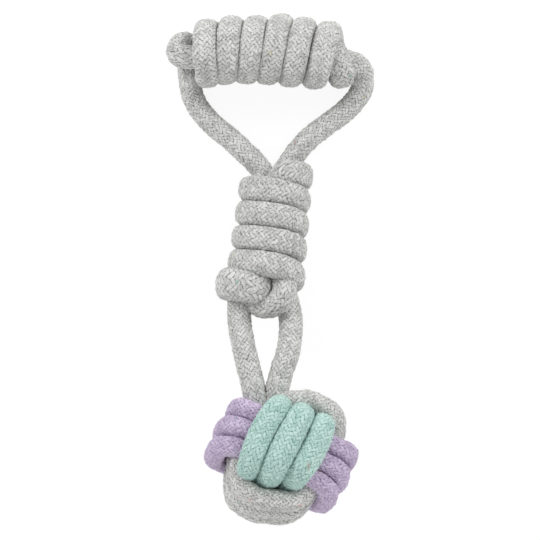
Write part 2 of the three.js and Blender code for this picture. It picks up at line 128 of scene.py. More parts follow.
WHITE = (1, 1, 1, 1)
PAPER = (0.9, 0.9, 0.9, 1)
SHADOW_SHARE = (0.14, 0.14, 0.14, 1)  # the part of the shown floor that the lamps still light
GLOW = 0.9  # the part that shines by itself
FLOOR_HALF = 4
corners = [(-1, -1), (1, -1), (1, 1), (-1, 1)]
floor_mesh = bpy.data.meshes.new("floor")
floor_mesh.from_pydata([(FLOOR_HALF * x, FLOOR_HALF * y, 0) for x, y in corners], [], [(0, 1, 2, 3)])
floor = bpy.data.objects.new("floor", floor_mesh)
bpy.context.scene.collection.objects.link(floor)
paper = bpy.data.materials.new("pale_paper")
paper.use_nodes = True
nodes = paper.node_tree
nodes.nodes.clear()
lit = result(add(nodes, "ShaderNodeBsdfDiffuse", PAPER))
faint = result(add(nodes, "ShaderNodeBsdfDiffuse", SHADOW_SHARE))
glow = result(add(nodes, "ShaderNodeEmission", WHITE, GLOW))
white = result(add(nodes, "ShaderNodeAddShader", faint, glow))
shown = result(add(nodes, "ShaderNodeMixShader", shown_directly(nodes), lit, white))
add(nodes, "ShaderNodeOutputMaterial", shown)
floor_mesh.materials.append(paper)
print("floor", 2 * FLOOR_HALF, "m wide")

# %% World
AMBIENT = 0.55
world = bpy.data.worlds.new("studio")
bpy.context.scene.world = world
world.use_nodes = True
nodes = world.node_tree
nodes.nodes.clear()
ambient = result(add(nodes, "ShaderNodeBackground", WHITE, AMBIENT))
white = result(add(nodes, "ShaderNodeBackground", WHITE, 1.0))
shown = result(add(nodes, "ShaderNodeMixShader", shown_directly(nodes), ambient, white))
add(nodes, "ShaderNodeOutputWorld", shown)
print("ambient light", AMBIENT)

# %% Lamps
LAMP_SIZE = 0.9
LAMPS = {  # place in metres, watts
    "left_window": ((-1.26, 1.06, 0.95), 15.0),
    "right_window": ((1.26, 1.06, 0.95), 15.0),
    "reflector": ((0.0, -1.5, 0.85), 7.0),
}
for name, (place, watts) in LAMPS.items():
    light = bpy.data.lights.new(name, "AREA")
    light.size = LAMP_SIZE
    light.energy = watts
    lamp = bpy.data.objects.new(name, light)
    lamp.location = place
    lamp.rotation_euler = (-Vector(place)).to_track_quat("-Z", "Y").to_euler()
    bpy.context.scene.collection.objects.link(lamp)
print("lamps", list(LAMPS))

# %% [markdown]
# ## How a braid is made up
# A round braid has two families of yarns. One climbs to the right, the other to
# the left, and each goes over two and under two of the other family. On the
# surface that gives short slanted floats in columns, first one slant, then the
# other: a herringbone along the rope. A wave texture gives only stripes, so the
# function below writes that rule in math nodes, with a little wander, because
# soft cotton never lies quite evenly. It serves twice: Geometry Nodes raise the
# yarns with it, and the materials colour the same yarns with it.

# %% The rule of the braid
CARRIERS = 16.0  # yarns of one family round the rope
LAY = 2.15  # millimetres along the rope from one yarn to the next
WANDER = 0.85  # how far a yarn strays, in yarns
WANDER_FINE = 0.36  # how quickly it strays, in changes for a millimetre
NOISE_RADIUS = 5.0  # millimetres; noise is read on a straight round rope of this size


def braid(tree, around, run, carriers, lay):
    """The yarn on top at a place: around goes from 0 to 1, run is in millimetres."""
    angle = calc(tree, "MULTIPLY", around, 2 * math.pi)
    ring_x = calc(tree, "MULTIPLY", calc(tree, "COSINE", angle), NOISE_RADIUS)
    ring_y = calc(tree, "MULTIPLY", calc(tree, "SINE", angle), NOISE_RADIUS)
    place = result(add(tree, "ShaderNodeCombineXYZ", ring_x, ring_y, run))
    stray = add(tree, "ShaderNodeTexNoise", place, WANDER_FINE, 1.0, noise_dimensions="3D")
    stray = add(tree, "ShaderNodeSeparateXYZ", stray.outputs["Color"]).outputs
    pull = [calc(tree, "MULTIPLY", calc(tree, "SUBTRACT", s, 0.5), WANDER) for s in stray[:2]]
    across = calc(tree, "MULTIPLY_ADD", around, carriers, pull[0])
    step = calc(tree, "ADD", calc(tree, "DIVIDE", run, lay), pull[1])
    right, left = calc(tree, "ADD", across, step), calc(tree, "SUBTRACT", across, step)
    right_in, left_in = calc(tree, "FRACT", right), calc(tree, "FRACT", left)
    right_no, left_no = calc(tree, "FLOOR", right), calc(tree, "FLOOR", left)
    # Over two and under two repeats every four crossings.
    phase = calc(tree, "FLOORED_MODULO", calc(tree, "ADD", right_no, left_no), 4.0)
    right_over = calc(tree, "LESS_THAN", phase, 1.5)

    def either(if_right, if_left):
        return calc(tree, "MULTIPLY_ADD", right_over, calc(tree, "SUBTRACT", if_right, if_left), if_left)

    late = calc(tree, "SUBTRACT", phase, either(0.0, 2.0))
    in_float = calc(tree, "ADD", late, either(left_in, right_in))
    from_middle = calc(tree, "MULTIPLY_ADD", either(right_in, left_in), 2.0, -1.0)
    fallen = calc(tree, "MULTIPLY", from_middle, from_middle)
    crown = calc(tree, "SQRT", calc(tree, "MAXIMUM", calc(tree, "SUBTRACT", 1.0, fallen), 0.0))
    arch = calc(tree, "SINE", calc(tree, "MULTIPLY", in_float, math.pi / 2))
    arch = calc(tree, "SQRT", calc(tree, "MAXIMUM", arch, 0.0))
    height = calc(tree, "MULTIPLY", crown, calc(tree, "MULTIPLY_ADD", arch, 0.65, 0.35))
    family = calc(tree, "SUBTRACT", either(left_no, right_no), late)
    number = result(add(tree, "ShaderNodeCombineXYZ", either(right_no, left_no), family, right_over))
    found = {"height": height, "number": number, "place": place}
    return found | {"along": either(left, right), "across": either(right, left)}


print("braid of", int(2 * CARRIERS), "yarns, one every", LAY, "mm")

# %% [markdown]
# ## The braided rope as a Geometry Nodes tree
# A rope is a route: one point for each ring of its surface, with the direction
# of its thickness, its half sizes and the length run so far. The tree takes a
# grid with one row for each point, rolls each row into a ring round its point,
# and raises the yarns. A slow noise makes it swell and shrink a little, because
# soft rope is lumpy. A grid keeps the place around and along the rope, which
# the materials need, and Curve to Mesh would not let one rope be round in one
# place and pressed square between its neighbours in another.

# %% Tree inputs
RELIEF = 0.58  # millimetres from the hollow between yarns to a yarn's crown
LUMPS = 1.0  # millimetres by which the soft rope swells and shrinks from place to place
LUMPS_FINE = 0.55  # how quickly it does so, in changes for a millimetre


def new_tree(name, inputs):
    tree = bpy.data.node_groups.new(name, "GeometryNodeTree")
    tree.interface.new_socket("Geometry", in_out="INPUT", socket_type="NodeSocketGeometry")
    sockets = {}
    for label, kind, value in inputs:
        socket = tree.interface.new_socket(label, in_out="INPUT", socket_type=f"NodeSocket{kind}")
        if value is not None:
            socket.default_value = value
        sockets[label] = socket.identifier
    tree.interface.new_socket("Geometry", in_out="OUTPUT", socket_type="NodeSocketGeometry")
    return tree, sockets, add(tree, "NodeGroupInput").outputs


rope_tree, ROPE_SOCKETS, given = new_tree("Braided rope", (
    ("Sides", "Int", 84),
    ("Carriers", "Float", CARRIERS),
    ("Lay", "Float", LAY),
    ("Relief", "Float", RELIEF * MM),
    ("Lumps", "Float", LUMPS * MM),
    ("Bare all round", "Float", 0.0),
    ("Material", "Material", None),
))
tree = rope_tree
print("inputs", list(ROPE_SOCKETS))

# %% Tree: the ring and the place in it, from the index
route_size = add(tree, "GeometryNodeAttributeDomainSize", given["Geometry"], component="MESH")
count = route_size.outputs["Point Count"]
columns = calc(tree, "ADD", given["Sides"], 1.0)
grid = add(tree, "GeometryNodeMeshGrid", 1.0, 1.0, count, columns).outputs["Mesh"]
index = result(add(tree, "GeometryNodeInputIndex"))
ring = calc(tree, "FLOOR", calc(tree, "DIVIDE", calc(tree, "ADD", index, 0.5), columns))
column = calc(tree, "SUBTRACT", index, calc(tree, "MULTIPLY", ring, columns))
around = calc(tree, "DIVIDE", column, given["Sides"])


def kept(name, kind="FLOAT"):
    return result(add(tree, "GeometryNodeInputNamedAttribute", name, data_type=kind))


def of_route(name, kind="FLOAT"):
    """A value that the route keeps for this point's ring."""
    sample = (given["Geometry"], kept(name, kind), ring)
    return result(add(tree, "GeometryNodeSampleIndex", *sample, data_type=kind, domain="POINT"))


middle = of_route("position", "FLOAT_VECTOR")
out = of_route("out", "FLOAT_VECTOR")
side = of_route("side", "FLOAT_VECTOR")
high, wide, square, run, seen = map(of_route, ("high", "wide", "square", "run", "seen"))

# %% Tree: roll the ring, raise the yarns, press it on the floor
MEAN_HEIGHT = 0.65  # of a yarn, so that the relief doesn't thicken the rope
THINNEST = 3.0  # millimetres of half width below which the relief fades, at round ends
ON_FLOOR = (-9.0, -9.0, 0.0)  # lowest place of a point: only the last number binds
OUTER_SIDE = -0.1  # cosine below which a turn's surface is hidden between ropes
angle = calc(tree, "MULTIPLY_ADD", around, 2 * math.pi, math.pi)  # the seam lies on the inner side
cosine, sine = calc(tree, "COSINE", angle), calc(tree, "SINE", angle)
corner = [calc(tree, "POWER", calc(tree, "ABSOLUTE", wave), square) for wave in (cosine, sine)]
reach = calc(tree, "POWER", calc(tree, "ADD", *corner), calc(tree, "DIVIDE", -1.0, square))
found = braid(tree, around, run, given["Carriers"], given["Lay"])
raised = calc(tree, "MULTIPLY", calc(tree, "SUBTRACT", found["height"], MEAN_HEIGHT), given["Relief"])
lump = result(add(tree, "ShaderNodeTexNoise", found["place"], LUMPS_FINE, 1.0, noise_dimensions="3D"))
raised = calc(tree, "MULTIPLY_ADD", calc(tree, "SUBTRACT", lump, 0.5), given["Lumps"], raised)
fading = calc(tree, "MINIMUM", calc(tree, "DIVIDE", wide, THINNEST * MM), 1.0)
raised = calc(tree, "MULTIPLY", raised, fading)
outward = calc(tree, "MULTIPLY", calc(tree, "ADD", high, raised), calc(tree, "MULTIPLY", cosine, reach))
sideways = calc(tree, "MULTIPLY", calc(tree, "ADD", wide, raised), calc(tree, "MULTIPLY", sine, reach))
place = calc_vector(tree, "SCALE", out, outward)
place = calc_vector(tree, "ADD", place, calc_vector(tree, "SCALE", side, sideways))
place = calc_vector(tree, "MAXIMUM", calc_vector(tree, "ADD", middle, place), ON_FLOOR)
outside = calc(tree, "MAXIMUM", calc(tree, "GREATER_THAN", cosine, OUTER_SIDE), given["Bare all round"])
fuzzy = calc(tree, "MULTIPLY", outside, seen)

# %% Tree: keep the map, close the seam, finish
SEAM_GAP = 0.004  # millimetres within which points become one


def stored(surface, name, value, kind, domain):
    facts = (surface, True, name, value)
    return result(add(tree, "GeometryNodeStoreNamedAttribute", *facts, data_type=kind, domain=domain))


surface = grid
for name, value in (("around", around), ("run_at", run), ("fuzzy", fuzzy)):
    surface = stored(surface, name, value, "FLOAT", "POINT")
surface = result(add(tree, "GeometryNodeSetPosition", surface, True, place))
flat = result(add(tree, "ShaderNodeCombineXYZ", kept("around"), kept("run_at")))
surface = stored(surface, "rope_map", flat, "FLOAT2", "CORNER")
for name in ("around", "run_at"):
    surface = result(add(tree, "GeometryNodeRemoveAttribute", surface, name))
surface = result(add(tree, "GeometryNodeMergeByDistance", surface, True, SEAM_GAP * MM))
surface = result(add(tree, "GeometryNodeSetShadeSmooth", surface, True, True))
surface = result(add(tree, "GeometryNodeRealizeInstances", surface))
surface = result(add(tree, "GeometryNodeSetMaterial", surface, True, given["Material"]))
add(tree, "NodeGroupOutput", surface)
print("tree", rope_tree.name, len(rope_tree.nodes), "nodes")

# %% [markdown]
# ## Loose fibres
# Cotton rope is fuzzy: ends of fibres stand off the yarns, and they soften its
# outline. The second tree scatters short fibres over a rope. Hair curves
# would be lost in the export, so each fibre is a thin three-sided spike.

# %% Tree: where the fibres stand
FUZZ_PER_MM2 = 2.0
FIBRE_LENGTH, FIBRE_THICKNESS = 1.15, 0.1  # millimetres
fuzz_tree, FUZZ_SOCKETS, given = new_tree("Loose fibres", (
    ("Per square metre", "Float", FUZZ_PER_MM2 * 1e6),
    ("Length", "Float", FIBRE_LENGTH * MM),
    ("Thickness", "Float", FIBRE_THICKNESS * MM),
    ("Seed", "Int", 1),
    ("Material", "Material", None),
))
tree = fuzz_tree
density = calc(tree, "MULTIPLY", kept("fuzzy"), given["Per square metre"])
spread = add(tree, "GeometryNodeDistributePointsOnFaces", distribute_method="RANDOM")
feed(tree, spread, {"Mesh": given["Geometry"], "Density": density, "Seed": given["Seed"]})
print("inputs", list(FUZZ_SOCKETS))

# %% Tree: one fibre, its length and its lean
LEAN = 0.9  # radians by which a fibre leans over at most
SHORTEST, LONGEST = 0.45, 1.3  # shares of the length
thin = calc(tree, "DIVIDE", given["Thickness"], given["Length"])
fibre = add(tree, "GeometryNodeMeshCone", fill_type="NGON")
feed(tree, fibre, {"Vertices": 3, "Radius Bottom": thin, "Depth": 1.0})
lean = ((-LEAN, -LEAN, 0), (LEAN, LEAN, 2 * math.pi), None, given["Seed"])
lean = result(add(tree, "FunctionNodeRandomValue", *lean, data_type="FLOAT_VECTOR"))
size = (SHORTEST, LONGEST, None, given["Seed"])
size = result(add(tree, "FunctionNodeRandomValue", *size, data_type="FLOAT"))
size = calc(tree, "MULTIPLY", size, given["Length"])
fibres = add(tree, "GeometryNodeInstanceOnPoints", spread.outputs["Points"])
feed(tree, fibres, {"Instance": fibre.outputs["Mesh"], "Scale": size})
feed(tree, fibres, {"Rotation": spread.outputs["Rotation"]})
leaning = add(tree, "GeometryNodeRotateInstances", result(fibres))
feed(tree, leaning, {"Rotation": lean})
surface = result(add(tree, "GeometryNodeRealizeInstances", result(leaning)))
surface = result(add(tree, "GeometryNodeSetMaterial", surface, True, given["Material"]))
add(tree, "NodeGroupOutput", surface)
print("tree", fuzz_tree.name, len(fuzz_tree.nodes), "nodes")

# %% [markdown]
# ## Cotton yarn
# The rope is spun from recycled cotton, so each yarn has a tone of its own, and
# here and there a fibre of another colour is caught in it. Plain noise would
# make it look like felt, so the tones follow the yarns. Two node groups make
# that for all three colours of rope. The first finds the yarns. The second
# mixes their tones, darkens the hollows between them with painted shade and
# adds the odd fibres.

# %% Node group: yarns
GRAIN_LONG, GRAIN_FINE = 1.1, 4.0  # fibres in a yarn: changes along it and across it


def shader_group(name, inputs, outputs):
    group = bpy.data.node_groups.new(name, "ShaderNodeTree")
    for label, kind, value in inputs:
        socket = group.interface.new_socket(label, in_out="INPUT", socket_type=f"NodeSocket{kind}")
        if value is not None:
            socket.default_value = value
    for label, kind in outputs:
        group.interface.new_socket(label, in_out="OUTPUT", socket_type=f"NodeSocket{kind}")
    return group, add(group, "NodeGroupInput").outputs


YARN_FACTS = ("Height", "Tone", "Streak", "Odd", "Odd colour")
yarns, given = shader_group(
    "Braid yarns",
    (("Map", "Vector", None), ("Carriers", "Float", CARRIERS), ("Lay", "Float", LAY)),
    [(fact, "Float") for fact in YARN_FACTS],
)
at = add(yarns, "ShaderNodeSeparateXYZ", given["Map"]).outputs
found = braid(yarns, at[0], at[1], given["Carriers"], given["Lay"])
chance = add(yarns, "ShaderNodeTexWhiteNoise", found["number"], noise_dimensions="3D").outputs["Color"]
chance = add(yarns, "ShaderNodeSeparateColor", chance).outputs
along = calc(yarns, "MULTIPLY", found["along"], GRAIN_LONG)
across = calc(yarns, "MULTIPLY", found["across"], GRAIN_FINE)
grain = result(add(yarns, "ShaderNodeCombineXYZ", along, across, 0.0))
streak = result(add(yarns, "ShaderNodeTexNoise", grain, 1.0, 2.0, noise_dimensions="3D"))
add(yarns, "NodeGroupOutput", found["height"], chance[0], streak, chance[1], chance[2])
print("group", yarns.name, len(yarns.nodes), "nodes")

# %% Node group: cotton colour
MOTTLE_FINE, CLOUD_FINE = 1900.0, 260.0  # spots for a metre: single fibres, and broad changes
# Painted shade: a yarn's colour darkens below these heights, standing in for the shade between yarns.
HOLLOW_SHADE_FROM, HOLLOW_SHADE_TO = 0.19, 0.53  # heights between which a yarn comes out of the hollow
cotton, given = shader_group(
    "Mottled cotton with painted shade",
    [(fact, "Float", 0.5) for fact in YARN_FACTS] + [
        ("Light", "Color", (0.8, 0.8, 0.8, 1)),
        ("Dark", "Color", (0.4, 0.4, 0.4, 1)),
        # Painted shade, standing in for the shade in the hollows between yarns
        ("Painted hollow shade", "Color", (0.2, 0.2, 0.2, 1)),
        ("Odd share", "Float", 0.01),
    ],
    (("Colour", "Color"), ("Bump", "Float")),
)


def mix_colour(tree, share, first, second):
    return result(add(tree, "ShaderNodeMix", share, first, second, data_type="RGBA"))


def mix_range(tree, value, low, high):
    return result(add(tree, "ShaderNodeMapRange", value, low, high, 0.0, 1.0))


where = add(cotton, "ShaderNodeTexCoord").outputs["Object"]
mottle = result(add(cotton, "ShaderNodeTexNoise", where, MOTTLE_FINE, 2.0))
cloud = result(add(cotton, "ShaderNodeTexNoise", where, CLOUD_FINE, 1.0))
tone = calc(cotton, "MULTIPLY_ADD", given["Tone"], 0.35, given["Streak"])
tone = calc(cotton, "ADD", tone, calc(cotton, "MULTIPLY_ADD", mottle, 1.8, -1.0))
tone = calc(cotton, "MULTIPLY_ADD", cloud, 0.3, tone)
tone = result(add(cotton, "ShaderNodeClamp", tone))
yarn_colour = mix_colour(cotton, tone, given["Dark"], given["Light"])
# Painted shade: where a yarn sinks between its neighbours, its colour is mixed towards a dark colour
# that stands in for the shade there.
depth = calc(cotton, "ADD", given["Height"], calc(cotton, "MULTIPLY_ADD", mottle, 0.9, -0.45))
out_of_painted_shade = mix_range(cotton, depth, HOLLOW_SHADE_FROM, HOLLOW_SHADE_TO)
yarn_colour = mix_colour(cotton, out_of_painted_shade, given["Painted hollow shade"], yarn_colour)
print("cotton mixed from", len(YARN_FACTS), "facts of a yarn")

# %% Odd fibres
ODD_COLOURS = {
    "rust": (0.45, 0.16, 0.06),
    "navy": (0.05, 0.09, 0.2),
    "red": (0.4, 0.07, 0.06),
    "teal": (0.03, 0.24, 0.22),
    "brown": (0.22, 0.12, 0.05),
    "straw": (0.5, 0.42, 0.1),
    "blue": (0.12, 0.25, 0.45),
}
ODD_STRENGTH = 0.55  # how far an odd fibre hides the yarn's own colour
ODD_FROM, ODD_TO = 0.8, 0.95  # heights: odd fibres show on the crowns of yarns
ramp = add(cotton, "ShaderNodeValToRGB", given["Odd colour"])
ramp.color_ramp.interpolation = "CONSTANT"
stops = ramp.color_ramp.elements
stops.remove(stops[1])
for i, colour in enumerate(ODD_COLOURS.values()):
    stop = stops[0] if i == 0 else stops.new(i / len(ODD_COLOURS))
    stop.color = (*colour, 1)
is_odd = calc(cotton, "LESS_THAN", given["Odd"], given["Odd share"])
caught = calc(cotton, "MULTIPLY", mix_range(cotton, depth, ODD_FROM, ODD_TO), ODD_STRENGTH)
odd = calc(cotton, "MULTIPLY", is_odd, caught)
yarn_colour = mix_colour(cotton, odd, yarn_colour, ramp.outputs["Color"])
bump = calc(cotton, "MULTIPLY_ADD", given["Streak"], 0.5, given["Height"])
bump = calc(cotton, "MULTIPLY_ADD", mottle, 0.5, bump)
add(cotton, "NodeGroupOutput", yarn_colour, bump)
print("group", cotton.name, len(cotton.nodes), "nodes")

# %% Loose cotton
SPECKLE = 900.0  # how fine the change of shade is, in spots for a metre
SHADES = (0.75, 1.25)  # shares of the colour between which it changes


def plain_cotton(name, colour=None):
    """Dull cotton, speckled in one colour if one is given."""
    material = bpy.data.materials.new(name)
    material.use_nodes = True
    nodes = material.node_tree
    shader = nodes.nodes["Principled BSDF"]
    feed(nodes, shader, {"Roughness": 0.92, "Specular IOR Level": 0.15})
    if colour:
        where = add(nodes, "ShaderNodeTexCoord").outputs["Object"]
        speckle = result(add(nodes, "ShaderNodeTexNoise", where, SPECKLE, 2.0))
        shades = [(*(share * c for c in colour), 1) for share in SHADES]
        feed(nodes, shader, {"Base Color": mix_colour(nodes, speckle, *shades)})
    return material, shader


# %% The ropes' materials
def rope_material(name, light, dark, hollow_shade, odd_share):
    material, shader = plain_cotton(name + "_cotton")
    nodes = material.node_tree
    found = add(nodes, "ShaderNodeGroup", node_tree=yarns)
    feed(nodes, found, {"Map": result(add(nodes, "ShaderNodeUVMap", uv_map="rope_map"))})
    mixed = add(nodes, "ShaderNodeGroup", node_tree=cotton)
    feed(nodes, mixed, {fact: found.outputs[fact] for fact in YARN_FACTS})
    feed(nodes, mixed, {"Light": (*light, 1), "Dark": (*dark, 1), "Painted hollow shade": (*hollow_shade, 1)})
    feed(nodes, mixed, {"Odd share": odd_share})
    bump = add(nodes, "ShaderNodeBump")
    feed(nodes, bump, {"Strength": 0.5, "Distance": 0.3 * MM, "Height": mixed.outputs["Bump"]})
    feed(nodes, shader, {"Base Color": mixed.outputs["Colour"], "Normal": result(bump)})
    feed(nodes, shader, {"Sheen Weight": 0.1, "Sheen Roughness": 0.6})
    fuzz, _ = plain_cotton(name + "_fuzz", light)
    return {"slot": name + "_rope", "rope": material, "fuzz": fuzz}


# Each rope's third colour is painted shade for the hollows between its yarns.
grey = rope_material("grey", (0.76, 0.76, 0.74), (0.22, 0.222, 0.217), (0.05, 0.05, 0.048), 0.007)
mint = rope_material("mint", (0.585, 0.77, 0.72), (0.175, 0.37, 0.325), (0.06, 0.2, 0.165), 0.005)
lilac = rope_material("lilac", (0.675, 0.575, 0.745), (0.265, 0.19, 0.34), (0.11, 0.07, 0.15), 0.003)
print("materials", [m.name for m in bpy.data.materials])

# %% [markdown]
# ## Routes
# Each route is a smooth line through a few points or a formula, the same as in
# the CAD model, but the turns press against each other. A curve object would
# do for a plain cord. Here each ring needs sizes of its own, so the line is cut
# into even steps, and a round end closes with rings that shrink like a dome.

# %% Route helpers: lines
ROPE = 5.05  # half the rope's thickness, in millimetres
RING = 0.48  # millimetres from ring to ring
SIDES = 84


def smooth(t):
    t = np.clip(t, 0, 1)
    return t * t * (3 - 2 * t)


def unit(v):
    return v / np.maximum(np.linalg.norm(v, axis=-1, keepdims=True), 1e-9)


def evenly(fine, step=RING):
    """The same line in even steps. Columns after the third are carried along."""
    run = np.r_[0, np.cumsum(np.linalg.norm(np.diff(fine[:, :3], axis=0), axis=1))]
    at = np.linspace(0, run[-1], max(int(run[-1] / step), 4) + 1)
    return np.stack([np.interp(at, run, column) for column in fine.T], 1)


def through(points, step=RING):
    """A smooth line through the points, in even steps."""
    points = np.array(points, float)
    knots = np.r_[0, np.cumsum(np.linalg.norm(np.diff(points, axis=0), axis=1) ** 0.6)]
    slope = np.gradient(points, knots, axis=0)
    t = np.linspace(0, knots[-1], 60 * len(points))
    i = np.clip(np.searchsorted(knots, t, side="right") - 1, 0, len(points) - 2)
    gap = (knots[i + 1] - knots[i])[:, None]
    s = (t - knots[i])[:, None] / gap
    near = (2 * s**3 - 3 * s**2 + 1) * points[i] + (s**3 - 2 * s**2 + s) * gap * slope[i]
    far = (3 * s**2 - 2 * s**3) * points[i + 1] + (s**3 - s**2) * gap * slope[i + 1]
    return evenly(near + far, step)


def carried(middles, first):
    """The first thickness direction, carried along the line without twist."""
    out = np.empty_like(middles)
    now = np.array(first, float)
    for i, direction in enumerate(unit(np.gradient(middles, axis=0))):
        now = now - direction * (now @ direction)
        now = now / np.linalg.norm(now)
        out[i] = now
    return out


# %% Route helpers: rings
UP = (0, 0, 1)
DOME = np.radians(np.arange(8, 91, 8.2))  # where the rings of a round end lie


def route(middles, out=UP, high=ROPE, wide=None, square=2.0, seen=1.0, start=0.0, stretch=1.0):
    """The rings of a rope along evenly cut points, with a dome at each end.

    The yarns begin at start, so that no two ropes are alike. The outer side of a
    tight turn is longer than its middle: stretch says by how much."""
    n = len(middles)
    along = unit(np.gradient(middles, axis=0))
    out = carried(middles, out) if np.ndim(out) < 2 else out
    out = unit(out - along * (out * along).sum(1, keepdims=True))
    run = start + stretch * np.r_[0, np.cumsum(np.linalg.norm(np.diff(middles, axis=0), axis=1))]
    rings = {"middle": middles, "along": along, "out": out, "run": run}
    wide = high if wide is None else wide
    for name, value in (("high", high), ("wide", wide), ("square", square), ("seen", seen)):
        rings[name] = np.broadcast_to(np.asarray(value, float), n)
    last = {"out": out[-1], "start": run[-1]}
    for end, sign in ((0, -1), (-1, 1)):
        cap = {name: np.repeat(values[end][None], len(DOME), 0) for name, values in rings.items()}
        reach = min(cap["high"][0], cap["wide"][0])
        cap["middle"] = cap["middle"] + sign * reach * np.sin(DOME)[:, None] * cap["along"]
        cap["run"] = cap["run"] + sign * reach * DOME
        for name in ("high", "wide"):
            cap[name] = cap[name] * np.cos(DOME)
        for name, values in rings.items():
            rings[name] = np.concatenate([cap[name][::-1], values] if sign < 0 else [values, cap[name]])
    rings["side"] = np.cross(rings["along"], rings["out"])
    rings["last"] = last
    return rings


# %% A mesh from a tree
def grown(obj, tree, values):
    """Runs a tree on an object and keeps the result as a plain mesh."""
    modifier = obj.modifiers.new("made by nodes", "NODES")
    modifier.node_group = tree
    for socket, value in values.items():
        modifier[socket] = value
    made = bpy.data.meshes.new_from_object(obj.evaluated_get(bpy.context.evaluated_depsgraph_get()))
    obj.modifiers.clear()
    obj.data = made
    made.name = obj.name
    return sum(len(p.vertices) - 2 for p in made.polygons)


# %% A rope and its fuzz from a route
pieces = {}


def braided(name, rings, cotton, bare=True, sides=SIDES):
    """A rope and its fuzz. A turn that isn't bare has fuzz on its outer side alone."""
    path = bpy.data.meshes.new(name)
    path.from_pydata([tuple(p) for p in rings["middle"] * MM], [], [])
    for label in ("out", "side"):
        attribute = path.attributes.new(label, "FLOAT_VECTOR", "POINT")
        attribute.data.foreach_set("vector", rings[label].astype(np.float32).ravel())
    for label, unit_size in (("high", MM), ("wide", MM), ("square", 1), ("run", 1), ("seen", 1)):
        attribute = path.attributes.new(label, "FLOAT", "POINT")
        attribute.data.foreach_set("value", (rings[label] * unit_size).astype(np.float32))
    rope = bpy.data.objects.new(name, path)
    fuzz = bpy.data.objects.new(name + "_fuzz", path)
    for obj in (rope, fuzz):
        bpy.context.scene.collection.objects.link(obj)
    values = {"Sides": sides, "Carriers": CARRIERS, "Lay": LAY, "Relief": RELIEF * MM}
    values |= {"Lumps": LUMPS * MM, "Bare all round": float(bare), "Material": cotton["rope"]}
    triangles = grown(rope, rope_tree, {ROPE_SOCKETS[label]: value for label, value in values.items()})
    fuzz.data = rope.data
    values = {"Per square metre": FUZZ_PER_MM2 * 1e6, "Length": FIBRE_LENGTH * MM}
    values |= {"Thickness": FIBRE_THICKNESS * MM, "Seed": len(pieces), "Material": cotton["fuzz"]}
    fibres = grown(fuzz, fuzz_tree, {FUZZ_SOCKETS[label]: value for label, value in values.items()})
    rope.data.attributes.remove(rope.data.attributes["fuzzy"])
    length = rings["run"].max() - rings["run"].min()
    pieces[name] = (rope, fuzz)
    print(name, round(length), "mm of rope,", triangles, "triangles,", fibres, "in its fuzz")


# %% [markdown]
# ## The legs
# Two legs run from the knot up to the grip, and two run down to the ball. A
# simulation could let them hang, but the photograph shows how they lie, so their
# points are read from it one by one. The upper legs are pulled a little thinner
# than the wound rope. A leg's yarns run on where the grip or the ball takes the
# rope over, and its end in there carries no fuzz.

# %% Legs
LEG_POINTS = {
    "left_leg": [
        (-2.4, 32, 14.8), (-2.4, 38, 13.6), (-3.2, 43.5, 12.4), (-5.8, 47.3, 11.8), (-10.6, 52.1, 11),
        (-16.2, 57.4, 9.0), (-22.4, 62.5, 6.9), (-27.6, 67.4, 5.5), (-31.6, 72.8, 4.8), (-33.9, 78, 4.9),
        (-34.7, 83, 6.0),
    ],
    "right_leg": [
        (3.6, 32, 15), (4.2, 38, 13.2), (6.2, 44, 11.2), (9.4, 49.4, 10.1), (13.4, 54.7, 9.3),
        (18.7, 59.9, 7.9), (25.6, 65.1, 6.4), (32.3, 70.2, 5.1), (37.3, 75.4, 4.8), (39.8, 79.6, 5.1),
        (40.4, 83.1, 6.0),
    ],
    "lower_left_leg": [
        (-10, -4, 20), (-12.4, -9, 21.4), (-13.3, -16, 22.8), (-12.9, -22.7, 24.6), (-12.0, -27.9, 27.0),
        (-10.9, -33.1, 29.6), (-9.7, -38.2, 32.0), (-8.4, -43.3, 34.0), (-7.5, -47.4, 35.1),
    ],
    "lower_right_leg": [
        (5.2, -4, 18), (6.8, -10, 19.4), (8.4, -16, 21.8), (9.05, -21, 24), (8.95, -25.3, 26),
        (8.4, -30.5, 28.6), (7.2, -35.7, 31), (5.3, -40.8, 33.2), (3.6, -47.4, 35.1),
    ],
}
HIDDEN = 9.0  # millimetres at a leg's far end that its neighbour hides
PULLED = 4.72  # half the thickness of the upper legs
leg_lines = {name: through(points) for name, points in LEG_POINTS.items()}
leg_routes = {}
for i, (name, line) in enumerate(leg_lines.items()):
    half = ROPE if name.startswith("lower") else PULLED
    to_end = np.arange(len(line))[::-1] * RING
    leg_routes[name] = route(line, high=half, seen=to_end > HIDDEN, start=60.0 * i)
    braided(name, leg_routes[name], grey)

# %% [markdown]
# ## The grip
# Seven turns lie side by side round the rope that carries them, pressed square
# against each other. Seven rings would look much the same from the front, but
# the real turns are one rope, so they are one helix. The right-hand end droops a
# little. The first turn comes out from under its neighbour there, so its start
# tucks inwards. At the left the carrying rope bends back over itself and shows
# as a knob.

# %% Grip: the turns
GRIP_Y, GRIP_Z = 96.1, 14.5  # the middle of the grip, in millimetres
GRIP_ROUND = 9.75  # from there to the middle of a turn
GRIP_PITCH = 9.98  # from turn to turn
GRIP_FIRST = 31.8  # the first turn, seen in front
GRIP_FROM, GRIP_TO = 75, 172 + 6 * 360  # degrees


